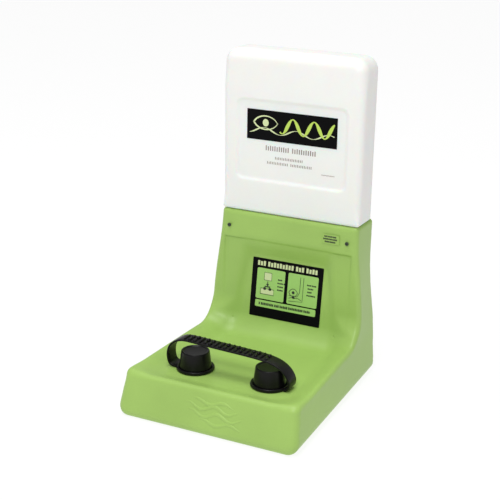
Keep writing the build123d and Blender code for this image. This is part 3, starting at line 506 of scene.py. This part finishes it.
def surface(name, colour, roughness, grain, mottle=0.06, bump=0.15, stretch=(1, 1, 1), **extra):
    """A made surface: slow changes of colour, fine grain in relief and uneven gloss."""
    made, nodes, links, shader = material(name, colour, roughness)
    place = nodes.new("ShaderNodeTexCoord")
    clouds = noise(nodes, links, place, 9, 4)
    fine = noise(nodes, links, place, grain, 4, stretch)
    both = nodes.new("ShaderNodeMath")
    both.operation = "MULTIPLY_ADD"
    both.inputs[1].default_value = 0.35
    links.new(fine, both.inputs[0])
    links.new(clouds, both.inputs[2])
    shade = nodes.new("ShaderNodeValToRGB")
    shade.color_ramp.elements[0].position = 0.42
    shade.color_ramp.elements[1].position = 0.92
    shade.color_ramp.elements[0].color = (*[c * (1 - mottle) for c in colour], 1)
    shade.color_ramp.elements[1].color = (*[min(c * (1 + mottle), 1) for c in colour], 1)
    links.new(both.outputs[0], shade.inputs["Fac"])
    links.new(shade.outputs["Color"], shader.inputs["Base Color"])
    gloss = nodes.new("ShaderNodeMapRange")
    gloss.inputs["To Min"].default_value = roughness - 0.06
    gloss.inputs["To Max"].default_value = roughness + 0.08
    links.new(both.outputs[0], gloss.inputs["Value"])
    links.new(gloss.outputs["Result"], shader.inputs["Roughness"])
    relief = nodes.new("ShaderNodeBump")
    relief.inputs["Strength"].default_value = bump
    relief.inputs["Distance"].default_value = 0.0004
    links.new(fine, relief.inputs["Height"])
    links.new(relief.outputs["Normal"], shader.inputs["Normal"])
    for socket, value in extra.items():
        shader.inputs[socket.replace("_", " ")].default_value = value
    return made


def dress(piece, made):
    """Gives a piece one material."""
    piece.data.materials.clear()
    piece.data.materials.append(made)


def fit(piece, made, body, slot, *nodes):
    """Finishes a new piece: its material, its body and the CAD nodes it stands for; its slot is not used."""
    if made:
        dress(piece, made)
    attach(piece, body)
    if nodes:
        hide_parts(*nodes)


green = surface("casing_plastic", (0.335, 0.52, 0.12), 0.42, 700, mottle=0.07, bump=0.12,
                Coat_Weight=0.12, Coat_Roughness=0.25, Specular_IOR_Level=0.35)
white = surface("bottle_plastic", (0.86, 0.865, 0.84), 0.38, 260, mottle=0.015, bump=0.06,
                Subsurface_Weight=0.3, Subsurface_Scale=0.03)
black = surface("black_rubber", (0.0045, 0.004, 0.0045), 0.27, 900, mottle=0.2, bump=0.08,
                Specular_IOR_Level=0.2)
seal = surface("seal_rubber", (0.03, 0.03, 0.033), 0.6, 800, mottle=0.15)
natural = surface("inner_plastic", (0.60, 0.60, 0.57), 0.45, 600)
moulded = surface("nozzle_plastic", (0.72, 0.72, 0.69), 0.3, 600, mottle=0.03)
tubing = surface("hose_plastic", (0.42, 0.45, 0.45), 0.2, 300, mottle=0.1,
                 Transmission_Weight=0.25)
steel = surface("stainless", (0.55, 0.55, 0.54), 0.3, 900, stretch=(1, 1, 0.12), bump=0.25, Metallic=1.0)
zinc = surface("zinc_plate", (0.5, 0.5, 0.52), 0.35, 1200, mottle=0.12, bump=0.2, Metallic=1.0)
dark = surface("dark_screw", (0.035, 0.05, 0.03), 0.4, 1200, mottle=0.2, bump=0.2)
brass = surface("brass", (0.62, 0.45, 0.16), 0.28, 1000, stretch=(1, 0.1, 1), Metallic=1.0)
foil = surface("foil", (0.75, 0.75, 0.77), 0.22, 350, mottle=0.1, bump=0.6, Metallic=1.0)
film = surface("black_film", (0.003, 0.003, 0.0035), 0.35, 500, mottle=0.3, bump=0.04,
               Specular_IOR_Level=0.05)
rating = surface("clear_film", (0.335, 0.52, 0.12), 0.42, 700, mottle=0.07, bump=0.12,
                 Specular_IOR_Level=0.35)
lime = surface("lime_ink", (0.34, 0.60, 0.15), 0.35, 900, mottle=0.06, bump=0.05)
pale = surface("pale_ink", (0.62, 0.70, 0.38), 0.35, 900, mottle=0.12, bump=0.05)
bright = surface("bright_ink", (0.50, 0.68, 0.10), 0.35, 900, mottle=0.1, bump=0.05)
ink = surface("dark_ink", (0.016, 0.022, 0.014), 0.35, 900, mottle=0.3, bump=0.05)
brown = surface("brown_ink", (0.27, 0.21, 0.18), 0.4, 900, mottle=0.2, bump=0.05)

CAD_FINISHES = {
    green: ("back_cover", "bottom_plate"),
    black: ("rubber_feet",),
    seal: ("receiver_seal", "nozzle_gaskets", "cap_seals"),
    natural: ("cartridge_shelf", "receiver_body", "tee_fitting", "hose_saddles", "cartridge_cap"),
    moulded: ("left_nozzle", "right_nozzle", "left_nozzle_rose", "right_nozzle_rose", "nozzle_nuts"),
    tubing: ("main_hose", "left_branch_hose", "right_branch_hose"),
    steel: ("piercing_spike", "vent_tube", "hose_clamps", "nozzle_screens"),
    zinc: ("back_cover_screws", "bottom_plate_screws", "foot_screws", "receiver_screws"),
    dark: ("band_screws",),
    brass: ("wall_mount_inserts",),
    foil: ("foil_seal",),
    film: ("instruction_label", "cartridge_banner"),
    rating: ("rating_label",),
}
for made, names in CAD_FINISHES.items():
    for name in names:
        for material_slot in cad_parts[name].material_slots:
            material_slot.material = made

# ---------------------------------------------------------------- the pieces
casing_piece = field_mesh("casing", casing, (-162, -184, -1), (162, 184, 281), 2.0)
fit(casing_piece, green, "station", "casing", "front_shell")
bottle_piece = field_mesh("bottle", bottle, (-130, 108, 218), (130, 180, 561), 2.5)
fit(bottle_piece, white, "cartridge", "bottle", "cartridge_bottle")

cap_profile = rounded_path([
    (20.6, 64.5, 0.3), (26.9, 64.5, 0.3), (26.7, 70, 2), (23.5, 95.4, 0.8), (22.9, 96.7, 1.0),
    (20.6, 96.7, 1.0), (18.6, 95.3, 1.2), (0, 94.8, 0), (0, 91.2, 0), (19.1, 91.2, 0.5),
    (19.1, 69.5, 0.3), (20.6, 69.5, 0.3),
])
for side, name in ((-1, "left_cap"), (1, "right_cap")):
    piece = turned(f"{name}_piece", cap_profile, [(side * NOZZLE_X, NOZZLE_FORWARD)])
    fit(piece, black, "strap", "rubber", name)

ring_profile = rounded_path([
    (27.1, 64.4, 0.6), (31.0, 64.4, 1.2), (31.9, 66.6, 1.4), (31.2, 69.4, 1.2), (29.2, 69.6, 1.0),
    (27.1, 68.4, 0.8),
])
rings = turned("cap_rings", ring_profile, [(side * NOZZLE_X, NOZZLE_FORWARD) for side in (-1, 1)])
fit(rings, black, "strap", "rubber")

# Strap, as (x, z) places along its middle
STRAP_ROUTE = [(-96, 66.2), (-104, 66.6), (-110.5, 70), (-113.6, 79), (-113.5, 91), (-109, 102),
               (-99.5, 110.2), (-85, 114.9), (-60, 114.8), (-20, 113.4), (20, 112.2), (50, 110.8),
               (72, 108), (88, 102.4), (99.5, 93.5), (106, 82.5), (106.6, 73.5), (103, 67.6), (95, 66.2)]
band = rounded_path([(-13, -1.6, 0.9), (13, -1.6, 0.9), (13, 1.6, 0.9), (-13, 1.6, 0.9)], 3)
strap = ribbon("pull_strap_piece", smooth_route(STRAP_ROUTE), band)
fit(strap, black, "strap", "rubber", "pull_strap")

# Grip blocks along the strap's crown: every third row is one long bar, the others are pairs
GRIP_ROWS = 17
GRIP_FIRST = -83
GRIP_PITCH = 9.2
crown = smooth_route(STRAP_ROUTE)[30:150]
grips = []
for i in range(GRIP_ROWS):
    x = GRIP_FIRST + GRIP_PITCH * i
    z = float(np.interp(x, crown[:, 0], crown[:, 1]))
    tilt = math.radians(1.4 + 2.2 * smooth_step(x, 40, 75))
    wide = 20 if i % 3 == 0 else 8.6
    for across in (0,) if i % 3 == 0 else (-5.7, 5.7):
        lift = 2.3 if (i + (across > 0)) % 2 else 1.7
        grips.append(((x, BACK_Y - NOZZLE_FORWARD + across, z + 1.2 + lift / 2),
                      (4.6 if i % 3 else 3.4, wide, lift + 1.2), tilt))
grip_piece = blocks("strap_grips", grips, 0.8)
fit(grip_piece, black, "strap", "rubber")

# Instruction label: pictures of use in two panels, with rows of marks in place of words
label_place = on_face(LABEL_LOW, LABEL_HIGH, 146.0, 0.4)
water = [stroke(arc(34 + side * 7, -16, 7, 20, 90 + side * 78, 90 - side * 10, 14), 1.0) for side in (-1, 1)]
label_shapes = [
    ("pale", marks(0, 43.5, (3, 9, 3, 4), 8.5, 4.1, 1.5)),
    ("lime", bar(-30.5, 7.5, 54, 55, 3) + bar(31, 7.5, 57, 55, 3)),
    ("lime", bar(0.5, -28.5, 116, 12.5, 2.5)),
    ("ink", marks(-12.5, 18.5, (3,), 2.6, 2.4, 0.4) + marks(-10, 12.5, (4, 1), 2.6, 2.4, 0.4)
        + marks(-11.5, 6.5, (4,), 2.6, 2.4, 0.4) + marks(-11.5, 0.5, (4,), 2.6, 2.4, 0.4)),
    ("ink", marks(47.5, 18.5, (3, 3), 2.6, 2.4, 0.4) + marks(46, 12.5, (4,), 2.6, 2.4, 0.4)
        + marks(44.5, 6.5, (3,), 2.6, 2.4, 0.4) + marks(47.5, 0.5, (6,), 2.6, 2.4, 0.4)),
    ("ink", marks(-1, -28.5, (1, 8, 3, 5, 9, 4), 4.4, 2.5, 0.6)),
    ("pale", bar(-36, 21, 14, 13, 2) + bar(-36, -6, 24, 9, 2)),
    ("ink", stroke([(-43, 14.5), (-43, 28), (-29, 28), (-29, 14.5), (-43, 14.5)], 0.8)
        + stroke([(-49, -11), (-49, -1), (-23, -1), (-23, -11), (-49, -11)], 0.8)
        + disc(-41, -1, 3, 2.6) + disc(-31, -1, 3, 2.6) + bar(-36, 3, 11, 2, 0.8)
        + stroke([(-36, 12.5), (-36, 5.5)], 1.4) + [[(-39, 8), (-33, 8), (-36, 3.5)]]),
    ("ink", stroke([(26, 30), (26, 3), (22, -5), (6, -5)], 0.9) + stroke([(32, 30), (32, -13), (6, -15)], 0.9)
        + stroke([(6, -10), (12, -8), (24, -8), (30, -11)], 0.9) + disc(15, -8, 3, 1.8)),
    ("ink", stroke(arc(14, 6, 9, 12, 205, 335), 0.9) + stroke(arc(14, -4.5, 9, 12, 155, 25), 0.9)
        + disc(14, 1, 2.6, 2.8)),
]
inks = {"pale": pale, "lime": lime, "ink": ink}
label_print = printed("label_print", label_place, label_shapes, inks)
fit(label_print, None, "station", "label_film")

# Banner on the cartridge: an eye over flowing water
banner_place = on_face(BOTTLE_LOW, BOTTLE_HIGH, BANNER_Z, LABEL_THICK - SUNK_DEPTH)
wave_u = np.linspace(-78, 78, 160)


def wave(rise, height, length, phase):
    """Line of a wave across the banner."""
    return np.stack([wave_u, rise + height * np.sin(wave_u / length + phase)], axis=1)


def swelling(thin, thick, length, phase):
    """Widths of a pen line that swells on its rising and falling runs."""
    return thin + (thick - thin) * np.cos(wave_u / length + phase) ** 2


right_half = slice(58, None)
banner_shapes = [
    ("pale", stroke(wave(-9, 5, 9.5, 0.6), swelling(0.8, 2.6, 9.5, 0.6))),
    ("bright", stroke(wave(2, 13, 6.2, 1.2)[right_half], swelling(1.8, 6.4, 6.2, 1.2)[right_half])),
    ("pale", stroke(arc(-48, -3, 24, 19, 20, 160), np.linspace(1.2, 3, 24))
        + stroke(arc(-48, 12, 24, 19, 200, 340), np.linspace(3, 1.2, 24)) + disc(-48, 4.5, 5.6, 6.4)),
]
banner_print = printed("banner_print", banner_place, banner_shapes, {"pale": pale, "bright": bright})
fit(banner_print, None, "cartridge", "banner_film")

# Raised waves on the front of the tray
emblem_place = on_face(FRONT_FOOT, RIM_FRONT, 38.0, -0.5)
emblem_points, emblem_faces = [], []
WAVE_POINTS = 90
WAVE_ROWS = ((17, -30, 52, 3.2), (8, -44, 66, 4.2), (-3, -38, 74, 4.2), (-14, -16, 70, 3.2))
for rise, start, end, swing in WAVE_ROWS:
    u = np.linspace(start, end, WAVE_POINTS)
    v = rise + swing * np.sin((u - start) / 7.5)
    taper = np.sin(np.linspace(0, math.pi, WAVE_POINTS)) ** 0.5
    first = len(emblem_points)
    for across, out in EMBLEM_SECTION:
        emblem_points += [emblem_place(a, b + across * t, out * t) for a, b, t in zip(u, v, taper)]
    for row in range(len(EMBLEM_SECTION) - 1):
        for i in range(WAVE_POINTS - 1):
            near, far = first + row * WAVE_POINTS + i, first + (row + 1) * WAVE_POINTS + i
            emblem_faces.append([near, near + 1, far + 1, far])
emblem = make_mesh("tray_waves", np.array(emblem_points) * MM, emblem_faces)
fit(emblem, green, "station", "casing")

# Rows of small print on the bottle and on the rating label
bottle_place = on_face(BOTTLE_LOW, BOTTLE_HIGH, BANNER_Z, -SUNK_DEPTH)
bottle_rows = [("brown", marks(0, -38.5, (11, 11), 8.6, 1.9, 2.2)),
               ("brown", marks(-3, -54.5, (17,), 4.6, 1.3, 1.8)),
               ("brown", marks(-2, -63.5, (13, 13), 4.6, 1.3, 1.8)),
               ("brown", marks(69, -72.5, (15,), 1.6, 0.9, 0.7))]
bottle_print = printed("bottle_print", bottle_place, bottle_rows, {"brown": brown})
fit(bottle_print, None, "cartridge", "banner_film")
rating_place = on_face(BAND_LOW, BAND_HIGH, 255.0, 0.25)
rating_rows = [("ink", marks(RATING_X, v, words, 2.9, 1.5, 0.25)) for v, words in
               ((4.6, (3, 5, 4)), (0.2, (6, 3, 5)), (-4.4, (5, 6)))]
rating_print = printed("rating_print", rating_place, rating_rows, {"ink": ink})
fit(rating_print, None, "station", "rating_film")

# ---------------------------------------------------------------- camera, light and floor
camera_data = bpy.data.cameras.new("camera")
camera_data.lens = 86.83
camera_data.sensor_width = 36
camera = bpy.data.objects.new("camera", camera_data)
right = Vector((0.89004, 0.45564, 0.01308))
up = Vector((-0.15497, 0.27547, 0.94868))
back = Vector((0.42867, -0.84643, 0.31582))
turn = Matrix((right, up, back)).transposed().to_4x4()
camera.matrix_world = Matrix.Translation((0.8315, -1.6703, 0.8761)) @ turn
bpy.context.scene.collection.objects.link(camera)
bpy.context.scene.camera = camera

bpy.ops.mesh.primitive_plane_add(size=12, location=(0, 0, 0))
floor = bpy.context.object
floor.name = "floor"
dress(floor, surface("floor_white", (0.12, 0.12, 0.12), 0.8, 60, mottle=0.01, bump=0.02,
                     Emission_Color=(1, 1, 1, 1), Emission_Strength=0.88))


def area_light(name, place, target, size, power):
    """Soft square light that shines from one place to another."""
    data = bpy.data.lights.new(name, "AREA")
    data.size = size
    data.energy = power
    light = bpy.data.objects.new(name, data)
    light.location = place
    light.rotation_euler = (Vector(target) - Vector(place)).to_track_quat("-Z", "Y").to_euler()
    bpy.context.scene.collection.objects.link(light)


area_light("key_light", (0.5, -2.0, 2.4), (0, 0, 0.3), 0.9, 36)
area_light("top_light", (-0.2, -0.2, 4.0), (0, 0, 0.2), 1.8, 70)
world = bpy.data.worlds.new("studio")
world.use_nodes = True
world.node_tree.nodes["Background"].inputs["Color"].default_value = (1, 1, 1, 1)
world.node_tree.nodes["Background"].inputs["Strength"].default_value = 0.42
bpy.context.scene.world = world
bpy.context.scene.view_settings.view_transform = "Standard"
